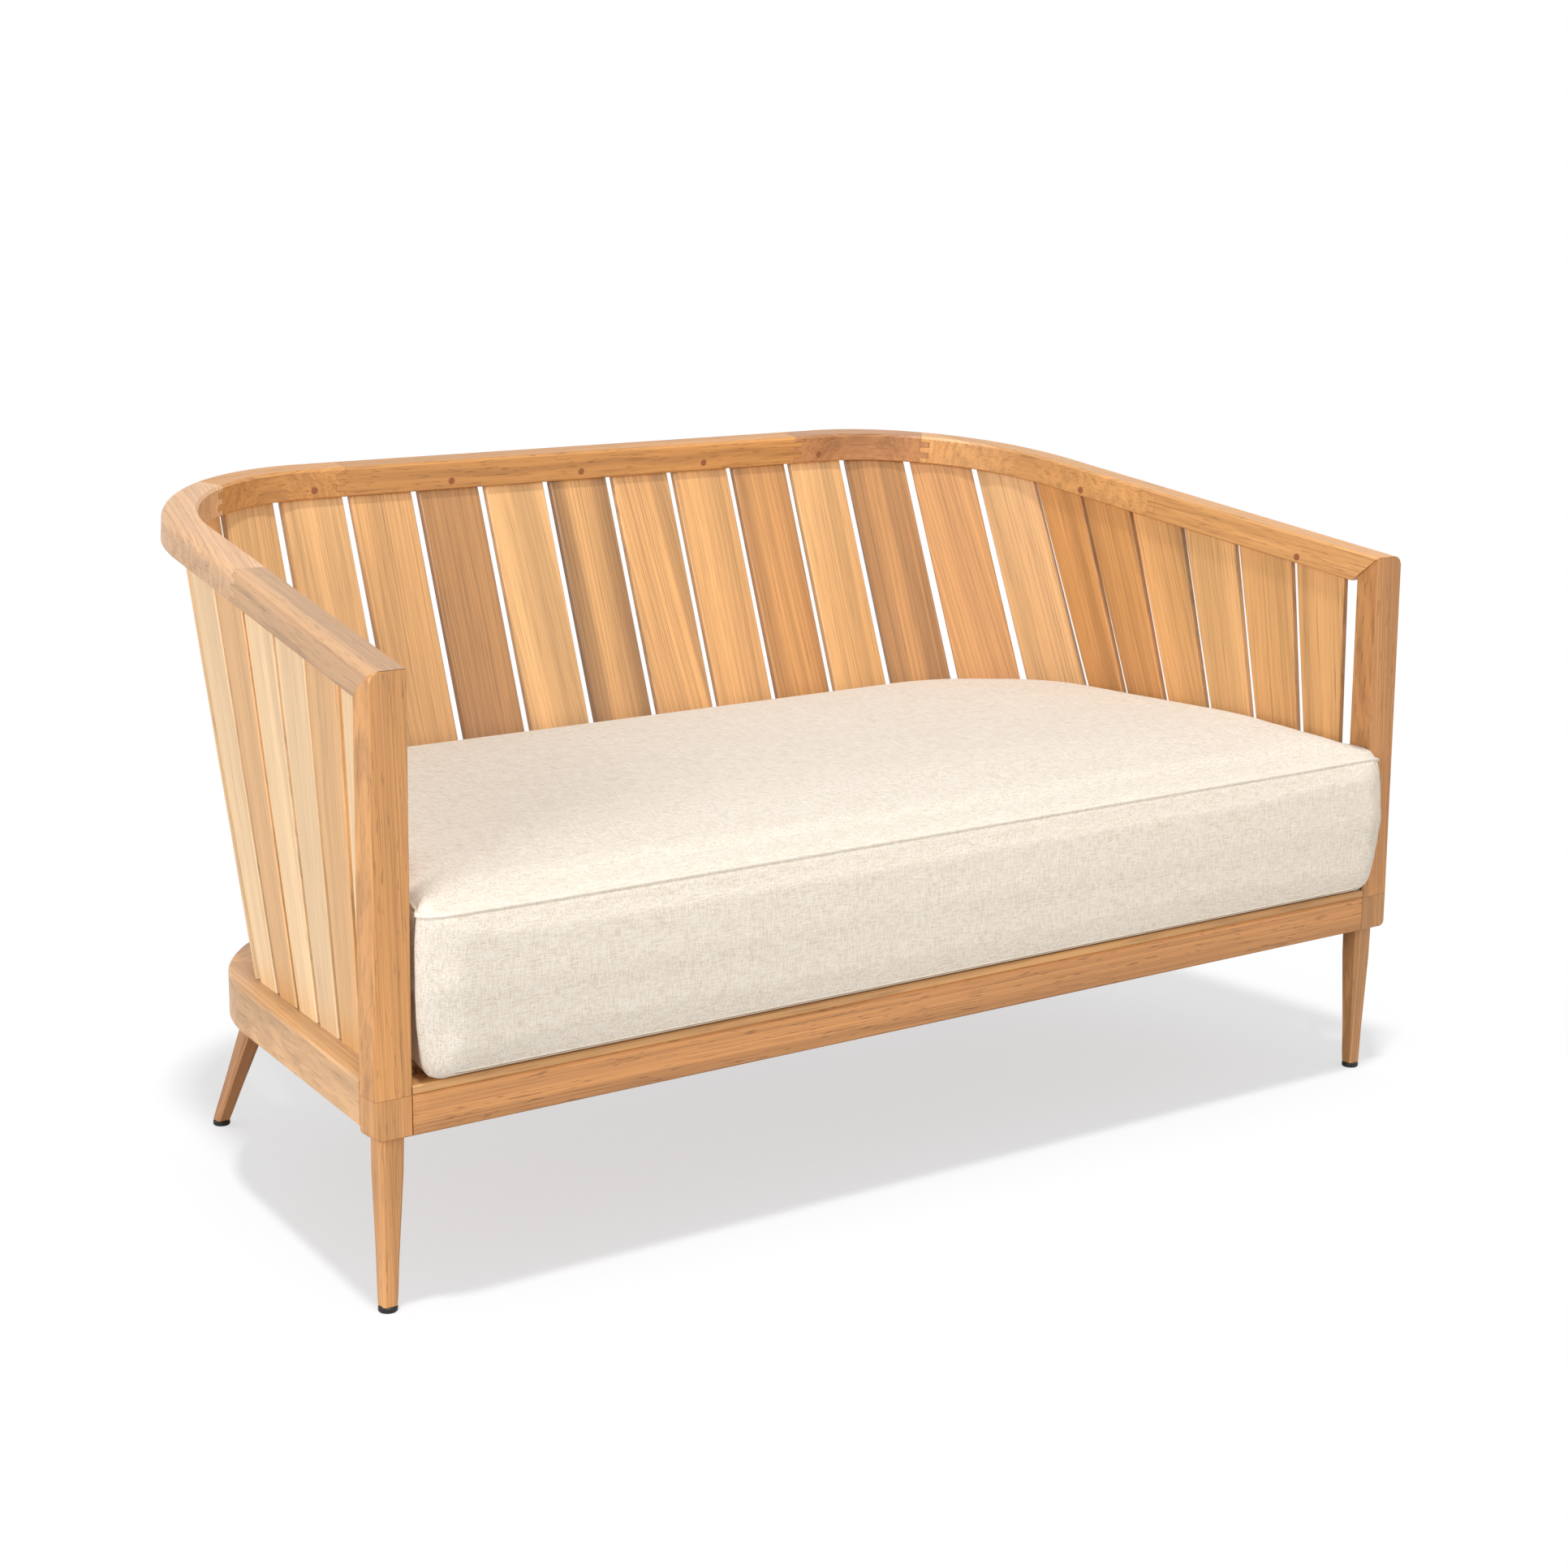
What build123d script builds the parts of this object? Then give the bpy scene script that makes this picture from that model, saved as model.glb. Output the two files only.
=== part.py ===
from build123d import *
from math import atan, cos, hypot, pi, sin, sqrt
import os

# Overall places. X runs to the right, Y to the back, Z up, and Z is zero on the floor.
frame_depth = 780.6
y_front = -frame_depth / 2

# Fits
seat_gap = 0.3
tenon_clearance = 0.3
mortise_clearance = 0.3
cut_overrun = 30.0

# Top rail: a flat U tilted up towards the back
rail_front_half = 707.0
rail_narrowing_share = 0.0915
rail_corner_radius = 268.0
rail_width = 41.0
rail_thickness = 36.6
rail_front_top = 651.6
rail_rise_share = 0.1413
rail_outer_top_round = 12.0
rail_inner_top_bevel = 3.0
rail_lower_bevel = 1.5

# Finger joints of the rail and the ring, each offset from the nearest slat's edge
finger_length = 12.0
rail_finger_layers = 5
rail_back_joint_offset = 11.4
rail_corner_joint_offset = 23.4
rail_arm_joint_offset = 39.8

# Front posts, mitred into the rail
post_depth = 33.3
post_width = 41.5
post_head_proud = 1.0
post_bevel = 1.5

# Front leg block and apron
block_bottom = 186.0
block_top = 227.7
block_width = 41.8
block_spread = 4.7
block_bevel = 1.5
block_shoulder_round = 7.0
apron_thickness = 22.0
apron_bevel = 1.5
strip_top = 237.2
strip_bevel = 1.5

# Legs: bevelled square sections at named heights
leg_head_size = 27.0
leg_knee_size = 26.0
leg_knee_height = 147.0
leg_shin_size = 18.8
leg_shin_height = 54.0
leg_ankle_size = 17.2
leg_ankle_height = 20.0
leg_foot_size = 16.0
leg_bevel_share = 0.14
front_leg_head_inset = 22.0
front_leg_head_setback = 24.6
front_foot_splay = 2.7
front_foot_rake = 2.0
rear_leg_head_setback = 153.3
rear_leg_head_inset = 78.1
rear_foot_splay = 25.3
rear_foot_rake = 86.2

# Glides under the feet
glide_diameter = 20.0
glide_height = 6.0
glide_bevel = 1.2
glide_shank_width = 3.0
glide_shank_length = 8.0
shank_clearance = 0.3

# Seat ring: a level U behind the posts
ring_spread = 8.0
ring_narrowing_share = 0.109
ring_corner_radius = 280.0
ring_back_setback = 163.3
ring_width = 62.0
ring_bottom = 193.0
ring_top = 243.0
ring_bevel = 2.5
ring_back_joint_offset = 25.4
ring_corner_joint_offset = 27.0
ring_finger_layers = 5

# Slats between the ring and the rail, counted from the middle of the back
slat_thickness = 10.0
slat_bevel = 1.4
slat_gap = 11.0
slat_head_inset = 28.8
slat_foot_inset = 34.0
first_slat_head_front = 52.0
first_slat_foot_front = 50.0
back_slats_a_side = 3
corner_slats_a_side = 4
arm_slats_a_side = 6
corner_slats_before_joint = 2
arm_slats_before_joint = 2
ring_slats_before_joint = 3
head_pitch_shares = (1.0, 1.0, 1.0, 0.983, 0.983, 0.983, 0.983,
                     0.91, 0.924, 0.937, 0.951, 0.964, 0.873)
foot_pitch_shares = (1.0, 1.0, 1.0, 1.025, 1.025, 1.025, 1.025,
                     0.631, 0.631, 0.631, 0.631, 0.631, 0.521)
tenon_thickness = 6.0
tenon_shoulder = 7.0
tenon_length = 12.0
slat_extension_share = 0.15

# Loose tenons in the joints of the frame
loose_tenon_wide = 18.0
loose_tenon_thick = 8.0
apron_tenon_length = 34.0
post_tenon_length = 44.0
post_tenon_setback = 27.7
post_tenon_inset = 22.5
ring_tenon_length = 34.0
ring_tenon_setback = 10.7
ring_tenon_rise = 17.0
leg_tenon_length = 36.0
mitre_tenon_length = 20.0
bearer_tenon_length = 26.0

# Seat deck under the cushion
deck_thickness = 16.0
deck_board_gap = 24.0
deck_boards = 5
deck_first_inset = 36.0
deck_end_clearance = 4.0
deck_bevel = 1.5
bearer_offset = 45.4
bearer_width = 32.0
bearer_height = 28.0

# Loose seat cushion
cushion_thickness = 183.0
cushion_post_clearance = 9.9
cushion_front_overhang = 4.0
cushion_back_setback = 48.3
cushion_lean = 54.0
cushion_foot_radius = 228.0
cushion_head_radius = 222.0
cushion_front_radius = 26.0
cushion_draw_in = 9.0
cushion_shares = ((0.0, 1.0), (0.08, 0.1), (0.48, -0.5), (0.895, 0.0), (0.945, 1.2),
                  (0.983, 5.0), (1.0, 14.0))

# Places that follow from the sizes above
post_head_outer = rail_front_half + post_head_proud
post_head_inner = post_head_outer - post_width
block_outer = rail_front_half + block_spread
block_inner = block_outer - block_width
ring_front_half = rail_front_half + ring_spread
ring_depth = frame_depth - ring_back_setback
rail_angle = atan(rail_rise_share)
rail_normal = Vector(0, -sin(rail_angle), cos(rail_angle))
rail_plane = Plane(origin=(0, y_front, rail_front_top), x_dir=(1, 0, 0), z_dir=rail_normal)
rail_under = rail_plane.offset(-rail_thickness)


def u_plan(half, narrowing, radius, front, back):
    """Plan of a U: straight sides that close in, round corners, a straight back."""
    turn = atan(narrowing)
    nx, ny = cos(turn), sin(turn)
    reach = half * nx + front * ny
    centre_y = back - radius
    centre_x = (reach - radius - ny * centre_y) / nx
    return dict(nx=nx, ny=ny, reach=reach, radius=radius, front=front, back=back,
                cx=centre_x, cy=centre_y, turn=turn)


def plan_length(plan, inset):
    """Lengths of half the U at an inset: half back, corner arc, side."""
    r = plan["radius"] - inset
    arc = r * (atan(plan["nx"] / plan["ny"]))
    side_y = plan["cy"] + r * plan["ny"]
    side = (side_y - plan["front"]) / plan["nx"]
    return plan["cx"], arc, side


def plan_point(plan, inset, s):
    """Point and forward direction at a distance s from the middle of the back."""
    half_back, arc, side = plan_length(plan, inset)
    r = plan["radius"] - inset
    if s <= half_back:
        return (s, plan["back"] - inset), (1.0, 0.0)
    if s <= half_back + arc:
        a = (s - half_back) / r
        return (plan["cx"] + r * sin(a), plan["cy"] + r * cos(a)), (cos(a), -sin(a))
    rest = s - half_back - arc
    x = plan["cx"] + r * plan["nx"] + rest * plan["ny"]
    y = plan["cy"] + r * plan["ny"] - rest * plan["nx"]
    return (x, y), (plan["ny"], -plan["nx"])


def plan_half_width(plan, inset, y):
    """Half width inside the U at a depth y."""
    r = plan["radius"] - inset
    if y > plan["cy"] + r * plan["ny"]:
        return plan["cx"] + sqrt(r * r - (y - plan["cy"]) ** 2)
    return (plan["reach"] - inset - plan["ny"] * y) / plan["nx"]


def plan_inset(plan, x, y):
    """How far a point lies inside the outer line of the U."""
    x = abs(x)
    if x < plan["cx"]:
        return plan["back"] - y
    if (x - plan["cx"]) * plan["ny"] < (y - plan["cy"]) * plan["nx"]:
        return plan["radius"] - hypot(x - plan["cx"], y - plan["cy"])
    return plan["reach"] - plan["nx"] * x - plan["ny"] * y


def half_line(plan, inset, front, side):
    """Corner points of one half of the U at an inset, from the front to the back."""
    r = plan["radius"] - inset
    x0 = (plan["reach"] - inset - plan["ny"] * front) / plan["nx"]
    middle = plan_length(plan, inset)[1] / r / 2
    points = [(x0, front),
              (plan["cx"] + r * plan["nx"], plan["cy"] + r * plan["ny"]),
              (plan["cx"] + r * sin(middle), plan["cy"] + r * cos(middle)),
              (plan["cx"], plan["back"] - inset)]
    return [(side * x, y) for x, y in points]


def u_solid(plan, width, front, height):
    """The U as a solid from z = 0 up to a height."""
    outer_r = half_line(plan, 0, front, 1)
    outer_l = half_line(plan, 0, front, -1)
    inner_r = half_line(plan, width, front, 1)
    inner_l = half_line(plan, width, front, -1)
    edges = []
    for right, left in ((outer_r, outer_l), (inner_r, inner_l)):
        edges.append(Edge.make_line(right[0], right[1]))
        edges.append(Edge.make_three_point_arc(right[1], right[2], right[3]))
        edges.append(Edge.make_line(right[3], left[3]))
        edges.append(Edge.make_three_point_arc(left[3], left[2], left[1]))
        edges.append(Edge.make_line(left[1], left[0]))
    edges.append(Edge.make_line(outer_r[0], inner_r[0]))
    edges.append(Edge.make_line(outer_l[0], inner_l[0]))
    face = Face(Wire(edges))
    return Solid.extrude(face, Vector(0, 0, height))


def arris_edges(solid, plan, width, height, top, inner):
    """The long arrises of a U on one level and one side."""
    found = []
    for edge in solid.edges():
        if edge.bounding_box().size.Z > height / 2:
            continue
        point = edge.position_at(0.5)
        across = point.Y < plan["front"] and edge.bounding_box().size.Y < width / 2
        if across or (point.Z > height / 2) != top:
            continue
        if (plan_inset(plan, point.X, point.Y) > width / 2) == inner:
            found.append(edge)
    return found


def glue_comb(plan, inset, s, length, layers, height, width):
    """The thin stepped gap that parts two pieces with interlocking fingers."""
    layer = height / layers
    boxes = []
    for i in range(layers):
        along = length / 2 if i % 2 else -length / 2
        low = i * layer - seat_gap / 2
        high = (i + 1) * layer + seat_gap / 2
        if i == 0:
            low -= cut_overrun
        if i == layers - 1:
            high += cut_overrun
        box = Box(seat_gap, width + 2 * cut_overrun, high - low)
        boxes.append(Pos(along, 0, (low + high) / 2) * box)
        if i:
            shelf = Box(length + seat_gap, width + 2 * cut_overrun, seat_gap)
            boxes.append(Pos(0, 0, i * layer) * shelf)
    comb = boxes[0].fuse(*boxes[1:])
    (x, y), (wx, wy) = plan_point(plan, inset, s)
    return comb.moved(Plane(origin=(x, y, 0), x_dir=(wx, wy, 0), z_dir=(0, 0, 1)).location)


def both_sides(shape):
    return [shape, shape.mirror(Plane.YZ)]


def bevelled_square(x, y, z, size):
    """A level square outline with bevelled corners."""
    half = size / 2
    near = half - size * leg_bevel_share
    turns = [(half, -near), (half, near), (near, half), (-near, half),
             (-half, near), (-half, -near), (-near, -half), (near, -half)]
    return Wire.make_polygon([(x + dx, y + dy, z) for dx, dy in turns], close=True)


def leg_solid(head, foot, head_z, foot_z):
    """A leg that tapers with a slight curve between its head and its foot."""
    levels = [(head_z, leg_head_size), (leg_knee_height, leg_knee_size),
              (leg_shin_height, leg_shin_size), (leg_ankle_height, leg_ankle_size),
              (foot_z, leg_foot_size)]
    wires = []
    for z, size in levels:
        t = (z - foot_z) / (head_z - foot_z)
        x = foot[0] + (head[0] - foot[0]) * t
        y = foot[1] + (head[1] - foot[1]) * t
        wires.append(bevelled_square(x, y, z, size))
    return Solid.make_loft(wires, True)


def loose_tenon(centre, direction, wide, length, grow=0.0):
    """A flat loose tenon centred on a point, or its mortise when grown."""
    plane = Plane(origin=Vector(*centre), x_dir=Vector(*wide), z_dir=Vector(*direction))
    body = Box(loose_tenon_wide + 2 * grow, loose_tenon_thick + 2 * grow, length + 2 * grow)
    return only(body.moved(plane.location))


def name_u_pieces(solids, middle_name, side_names):
    """Name the pieces of a parted U: its middle, and the rest from the front to the back."""
    by_place = sorted(solids, key=lambda s: abs(s.center().X))
    named = {middle_name: by_place[0]}
    for hand, sign in (("right", 1), ("left", -1)):
        row = [s for s in by_place[1:] if s.center().X * sign > 0]
        row.sort(key=lambda s: s.center().Y)
        for name, solid in zip(side_names, row):
            named[f"{name}_{hand}"] = solid
    return named


def glide_shank(foot, clearance):
    """The square shank that a glide drives into its foot, or the room for it."""
    width = glide_shank_width + 2 * clearance
    low = glide_height / 2
    height = glide_shank_length + low + clearance
    corner = (foot[0] - width / 2, foot[1] - width / 2, low)
    return Solid.make_box(width, width, height, Plane(origin=corner))


def only(shape):
    return max(shape.solids(), key=lambda s: s.volume)


pieces = {}

# Plans of the rail, in its own tilted plane, and of the ring
rail_plan = u_plan(rail_front_half, rail_narrowing_share, rail_corner_radius, 0.0,
                   frame_depth / cos(rail_angle))
ring_plan = u_plan(ring_front_half, ring_narrowing_share, ring_corner_radius, y_front,
                   y_front + ring_depth)


def slat_marks(plan, inset, front, shares):
    """Where the slats end along half the U, in shares of the middle slat's pitch."""
    run = sum(plan_length(plan, inset)) - front + slat_gap / 2
    pitch = run / (sum(shares) + shares[0] / 2)
    marks = [pitch * shares[0] / 2]
    for share in shares:
        marks.append(marks[-1] + pitch * share)
    return marks


# Slats: where each one starts and ends along the rail and along the ring
head_marks = slat_marks(rail_plan, slat_head_inset, first_slat_head_front, head_pitch_shares)
foot_marks = slat_marks(ring_plan, slat_foot_inset, first_slat_foot_front, foot_pitch_shares)
head_back_end = head_marks[back_slats_a_side]
foot_back_end = foot_marks[back_slats_a_side]
bearer_place = foot_back_end + bearer_offset

ring_top_plane = Plane(origin=(0, 0, ring_top), z_dir=(0, 0, 1))


def slat_frame(index):
    """Foot, head, width direction and widths of one slat."""
    h0 = head_marks[index - 1] if index else -head_marks[0]
    f0 = foot_marks[index - 1] if index else -foot_marks[0]
    h1, f1 = head_marks[index], foot_marks[index]
    (fx, fy), foot_way = plan_point(ring_plan, slat_foot_inset, (f0 + f1) / 2)
    (hx, hy), head_way = plan_point(rail_plan, slat_head_inset, (h0 + h1) / 2)
    foot = Vector(fx, fy, ring_top)
    head = rail_under.from_local_coords(Vector(hx, hy, 0))
    way = Vector(foot_way[0] + head_way[0], foot_way[1] + head_way[1], 0).normalized()
    return foot, head, way, f1 - f0 - slat_gap, h1 - h0 - slat_gap


def slat_prism(index, shoulder, thickness):
    """The board's taper as a prism that runs past both of its ends."""
    foot, head, way, foot_width, head_width = slat_frame(index)
    up = head - foot
    normal = way.cross(up).normalized()
    low = [foot - way * (foot_width / 2 - shoulder), foot + way * (foot_width / 2 - shoulder)]
    top = [head - way * (head_width / 2 - shoulder), head + way * (head_width / 2 - shoulder)]
    more = slat_extension_share
    corners = [low[0] - (top[0] - low[0]) * more, low[1] - (top[1] - low[1]) * more,
               top[1] + (top[1] - low[1]) * more, top[0] + (top[0] - low[0]) * more]
    corners = [c - normal * (thickness / 2) for c in corners]
    face = Face(Wire.make_polygon(corners, close=True))
    return Solid.extrude(face, normal * thickness)


def between(solid, low_plane, high_plane):
    above = solid.split(low_plane, keep=Keep.TOP)
    return above.split(high_plane, keep=Keep.BOTTOM)


def slat_and_mortise(index):
    board = slat_prism(index, 0.0, slat_thickness)
    long_edges = board.edges().sort_by(SortBy.LENGTH)[-4:]
    board = board.chamfer(slat_bevel, None, long_edges)
    board = between(board, ring_top_plane.offset(seat_gap), rail_under.offset(-seat_gap))
    core = slat_prism(index, tenon_shoulder, tenon_thickness)
    core = between(core, ring_top_plane.offset(-tenon_length), rail_under.offset(tenon_length))
    room = slat_prism(index, tenon_shoulder - mortise_clearance,
                      tenon_thickness + 2 * mortise_clearance)
    reach = tenon_length + mortise_clearance
    room = between(room, ring_top_plane.offset(-reach), rail_under.offset(reach))
    return only(board.fuse(core)), only(room)


slats = {}
mortises = []
total = 1 + back_slats_a_side + corner_slats_a_side + arm_slats_a_side
for index in range(total):
    slat, room = slat_and_mortise(index)
    if index == 0:
        slats["slat_back_middle"] = slat
        mortises.append(room)
        continue
    mortises += both_sides(room)
    if index <= back_slats_a_side:
        name, number = "slat_back", index
    elif index <= back_slats_a_side + corner_slats_a_side:
        name, number = "slat_corner", index - back_slats_a_side
    else:
        name, number = "slat_arm", index - back_slats_a_side - corner_slats_a_side
    right, left = both_sides(slat)
    slats[f"{name}_right_{number}"] = right
    slats[f"{name}_left_{number}"] = left

# Mitre between the rail and the posts, from the front top arris to the rail's underside
mitre_top = Vector(0, y_front, rail_front_top)
under_reach = post_depth / cos(rail_angle)
mitre_low = rail_under.from_local_coords(Vector(0, under_reach, 0))
mitre_way = mitre_low - mitre_top
mitre_normal = Vector(1, 0, 0).cross(mitre_way).normalized()
if mitre_normal.Z < 0:
    mitre_normal = mitre_normal * -1
mitre_plane = Plane(origin=mitre_top, x_dir=(1, 0, 0), z_dir=mitre_normal)
mitre_middle = (mitre_top + mitre_low) / 2
mitre_x = (post_head_inner + post_head_outer) / 2
mitre_spot = (mitre_x, mitre_middle.Y, mitre_middle.Z)

# Feet and heads of the legs
front_head = (block_outer - front_leg_head_setback, y_front + front_leg_head_inset)
front_foot = (front_head[0] + front_foot_splay, front_head[1] + front_foot_rake)
rear_head = (ring_front_half - rear_leg_head_setback,
             y_front + ring_depth - rear_leg_head_inset)
rear_foot = (rear_head[0] + rear_foot_splay, rear_head[1] + rear_foot_rake)
foot_z = glide_height + seat_gap
rear_head_z = ring_bottom - seat_gap

# Loose tenons and their mortises, right-hand ones first and then mirrored
block_middle = (block_bottom + block_top) / 2
leg_way = (rear_head[0] - rear_foot[0], rear_head[1] - rear_foot[1], rear_head_z - foot_z)
across, back_way, up_way = (1, 0, 0), (0, 1, 0), (0, 0, 1)
bearer_z = ring_top - deck_thickness - seat_gap - bearer_height / 2
ring_inner_y = y_front + ring_depth - ring_width
tenon_rows = [
    ((block_inner, y_front + apron_thickness / 2, block_middle), across, up_way,
     apron_tenon_length),
    ((block_outer - post_tenon_setback, y_front + post_tenon_inset, block_top), up_way, across,
     post_tenon_length),
    ((block_outer - ring_tenon_setback, y_front + post_depth, ring_bottom + ring_tenon_rise),
     back_way, up_way, ring_tenon_length),
    ((rear_head[0], rear_head[1], ring_bottom), leg_way, across, leg_tenon_length),
    (mitre_spot, tuple(mitre_normal), across, mitre_tenon_length)]
bearer_ends = [y_front + apron_thickness, ring_inner_y]
for y in bearer_ends:
    tenon_rows.append(((bearer_place, y, bearer_z), back_way, across, bearer_tenon_length))
tenons = []
tenon_rooms = []
for spot, way, wide, length in tenon_rows:
    tenons += both_sides(loose_tenon(spot, way, wide, length))
    tenon_rooms += both_sides(loose_tenon(spot, way, wide, length, tenon_clearance))
for y in bearer_ends:
    spot = (0, y, bearer_z)
    tenons.append(loose_tenon(spot, back_way, across, bearer_tenon_length))
    tenon_rooms.append(loose_tenon(spot, back_way, across, bearer_tenon_length,
                                   tenon_clearance))

# Top rail
rail = u_solid(rail_plan, rail_width, -cut_overrun, rail_thickness)
rail = rail.fillet(rail_outer_top_round,
                   arris_edges(rail, rail_plan, rail_width, rail_thickness, True, False))
for top, inner, size in ((True, True, rail_inner_top_bevel), (False, False, rail_lower_bevel),
                         (False, True, rail_lower_bevel)):
    long_edges = arris_edges(rail, rail_plan, rail_width, rail_thickness, top, inner)
    rail = rail.chamfer(size, None, long_edges)
combs = []
head_corner_end = head_marks[back_slats_a_side + corner_slats_before_joint]
head_arm_end = head_marks[back_slats_a_side + corner_slats_a_side + arm_slats_before_joint]
for s in (head_back_end + rail_back_joint_offset, head_corner_end + rail_corner_joint_offset,
          head_arm_end + rail_arm_joint_offset):
    comb = glue_comb(rail_plan, slat_head_inset, s, finger_length, rail_finger_layers,
                     rail_thickness, rail_width)
    combs += both_sides(comb)
rail = rail.cut(*combs)
down = Pos(0, 0, -rail_thickness)
rail_solids = [(down * s).moved(rail_plane.location) for s in rail.solids()]
rail_names = name_u_pieces(rail_solids, "rail_back",
                           ["rail_arm", "rail_corner_front", "rail_corner_rear"])
for name, solid in rail_names.items():
    solid = solid.cut(*mortises)
    if name.startswith("rail_arm"):
        solid = only(solid).split(mitre_plane.offset(seat_gap / 2), keep=Keep.TOP)
        solid = only(solid).cut(*tenon_rooms)
    pieces[name] = only(solid)

# Posts
post_low = block_top + seat_gap
post_high = rail_front_top + cut_overrun
outline = [(block_inner, post_low), (block_outer, post_low),
           (post_head_outer, post_high), (post_head_inner, post_high)]
face = Face(Wire.make_polygon([(x, y_front, z) for x, z in outline], close=True))
post = Solid.extrude(face, Vector(0, post_depth, 0))
post = post.split(rail_plane, keep=Keep.BOTTOM)
top_outer = [e for e in post.edges() if e.center().X > post_head_outer - rail_thickness / 4
             and e.center().Z > rail_front_top - rail_thickness / 4
             and e.bounding_box().size.Y > post_depth / 2]
post = post.fillet(rail_outer_top_round, top_outer)
upright = [e for e in post.edges() if e.bounding_box().size.Z > rail_front_top / 3]
post = post.chamfer(post_bevel, None, upright)
post = post.split(mitre_plane.offset(-seat_gap / 2), keep=Keep.BOTTOM)
post = only(only(post).cut(*tenon_rooms))
pieces["arm_post_right"], pieces["arm_post_left"] = both_sides(post)

# Front legs with their blocks
block_height = block_top - block_bottom
block = Solid.make_box(block_width, post_depth, block_height,
                       Plane(origin=(block_inner, y_front, block_bottom)))
shoulder = [e for e in block.edges() if e.center().X > block_outer - block_width / 4
            and e.center().Z < block_bottom + block_height / 4
            and e.bounding_box().size.Y > post_depth / 2]
block = block.fillet(block_shoulder_round, shoulder)
upright = [e for e in block.edges() if e.bounding_box().size.Z > block_height / 2]
block = block.chamfer(block_bevel, None, upright)
leg = leg_solid(front_head, front_foot, block_bottom + block_bevel, foot_z)
front_leg = block.fuse(leg)
front_leg = only(front_leg.cut(glide_shank(front_foot, shank_clearance), *tenon_rooms))
pieces["front_leg_right"], pieces["front_leg_left"] = both_sides(front_leg)

# Rear legs, raked out to the back
rear_leg = leg_solid(rear_head, rear_foot, rear_head_z, foot_z)
rear_leg = only(rear_leg.cut(glide_shank(rear_foot, shank_clearance), *tenon_rooms))
pieces["rear_leg_right"], pieces["rear_leg_left"] = both_sides(rear_leg)

# Glides
glides = []
for foot in (front_foot, rear_foot):
    disc = Solid.make_cylinder(glide_diameter / 2, glide_height, Plane(origin=(*foot, 0)))
    rims = [e for e in disc.edges() if e.geom_type == GeomType.CIRCLE]
    disc = disc.chamfer(glide_bevel, None, rims)
    glides += both_sides(only(disc.fuse(glide_shank(foot, 0.0))))
pieces["glides"] = Compound(children=glides)

# Apron and the strip on top of it
apron_half = block_inner - seat_gap
apron = Solid.make_box(2 * apron_half, apron_thickness, block_height,
                       Plane(origin=(-apron_half, y_front, block_bottom)))
long_edges = [e for e in apron.edges() if e.length > apron_half]
apron = apron.chamfer(apron_bevel, None, long_edges)
pieces["apron"] = only(apron.cut(*tenon_rooms))
strip_low = block_top + seat_gap
strip_half = block_inner - seat_gap
strip = Solid.make_box(2 * strip_half, post_depth - seat_gap, strip_top - strip_low,
                       Plane(origin=(-strip_half, y_front, strip_low)))
long_edges = [e for e in strip.edges() if e.length > strip_half]
pieces["seat_front_strip"] = strip.chamfer(strip_bevel, None, long_edges)

# Seat ring
ring_height = ring_top - ring_bottom
ring = u_solid(ring_plan, ring_width, y_front - cut_overrun, ring_height)
for top, inner in ((True, False), (True, True), (False, False), (False, True)):
    level_edges = arris_edges(ring, ring_plan, ring_width, ring_height, top, inner)
    ring = ring.chamfer(ring_bevel, None, level_edges)
combs = []
foot_corner_end = foot_marks[back_slats_a_side + ring_slats_before_joint]
for s in (foot_back_end + ring_back_joint_offset, foot_corner_end + ring_corner_joint_offset):
    comb = glue_comb(ring_plan, slat_foot_inset, s, finger_length, ring_finger_layers,
                     ring_height, ring_width)
    combs += both_sides(comb)
ring = ring.cut(*combs)
front_plane = Plane(origin=(0, y_front + post_depth + seat_gap, 0), z_dir=(0, 1, 0))
for name, solid in name_u_pieces(ring.solids(), "ring_back", ["ring_side", "ring_corner"]).items():
    solid = (Pos(0, 0, ring_bottom) * solid).split(front_plane, keep=Keep.TOP)
    pieces[name] = only(only(solid).cut(*mortises, *tenon_rooms))

# Bearers and deck boards
bearer_front = y_front + apron_thickness + seat_gap
bearer_length = ring_inner_y - seat_gap - bearer_front
bearer_low = bearer_z - bearer_height / 2
deck_low = ring_top - deck_thickness
deck_first = y_front + deck_first_inset
deck_last = ring_inner_y - deck_end_clearance
deck_pitch = (deck_last + deck_board_gap - deck_first) / deck_boards
for name, x in (("bearer_left", -bearer_place), ("bearer_middle", 0.0),
                ("bearer_right", bearer_place)):
    bearer = Solid.make_box(bearer_width, bearer_length, bearer_height,
                            Plane(origin=(x - bearer_width / 2, bearer_front, bearer_low)))
    pieces[name] = only(bearer.cut(*tenon_rooms))
for i in range(deck_boards):
    front = deck_first + i * deck_pitch
    rear = front + deck_pitch - deck_board_gap
    front_half = plan_half_width(ring_plan, ring_width, front) - deck_end_clearance
    rear_half = plan_half_width(ring_plan, ring_width, rear) - deck_end_clearance
    outline = [(-front_half, front, deck_low), (front_half, front, deck_low),
               (rear_half, rear, deck_low), (-rear_half, rear, deck_low)]
    face = Face(Wire.make_polygon(outline, close=True))
    board = Solid.extrude(face, Vector(0, 0, deck_thickness))
    long_edges = [e for e in board.edges() if e.bounding_box().size.X > rear_half]
    board = board.chamfer(deck_bevel, None, long_edges)
    pieces[f"deck_board_{i + 1}"] = board
pieces["frame_tenons"] = Compound(children=tenons)
pieces.update(slats)


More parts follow.
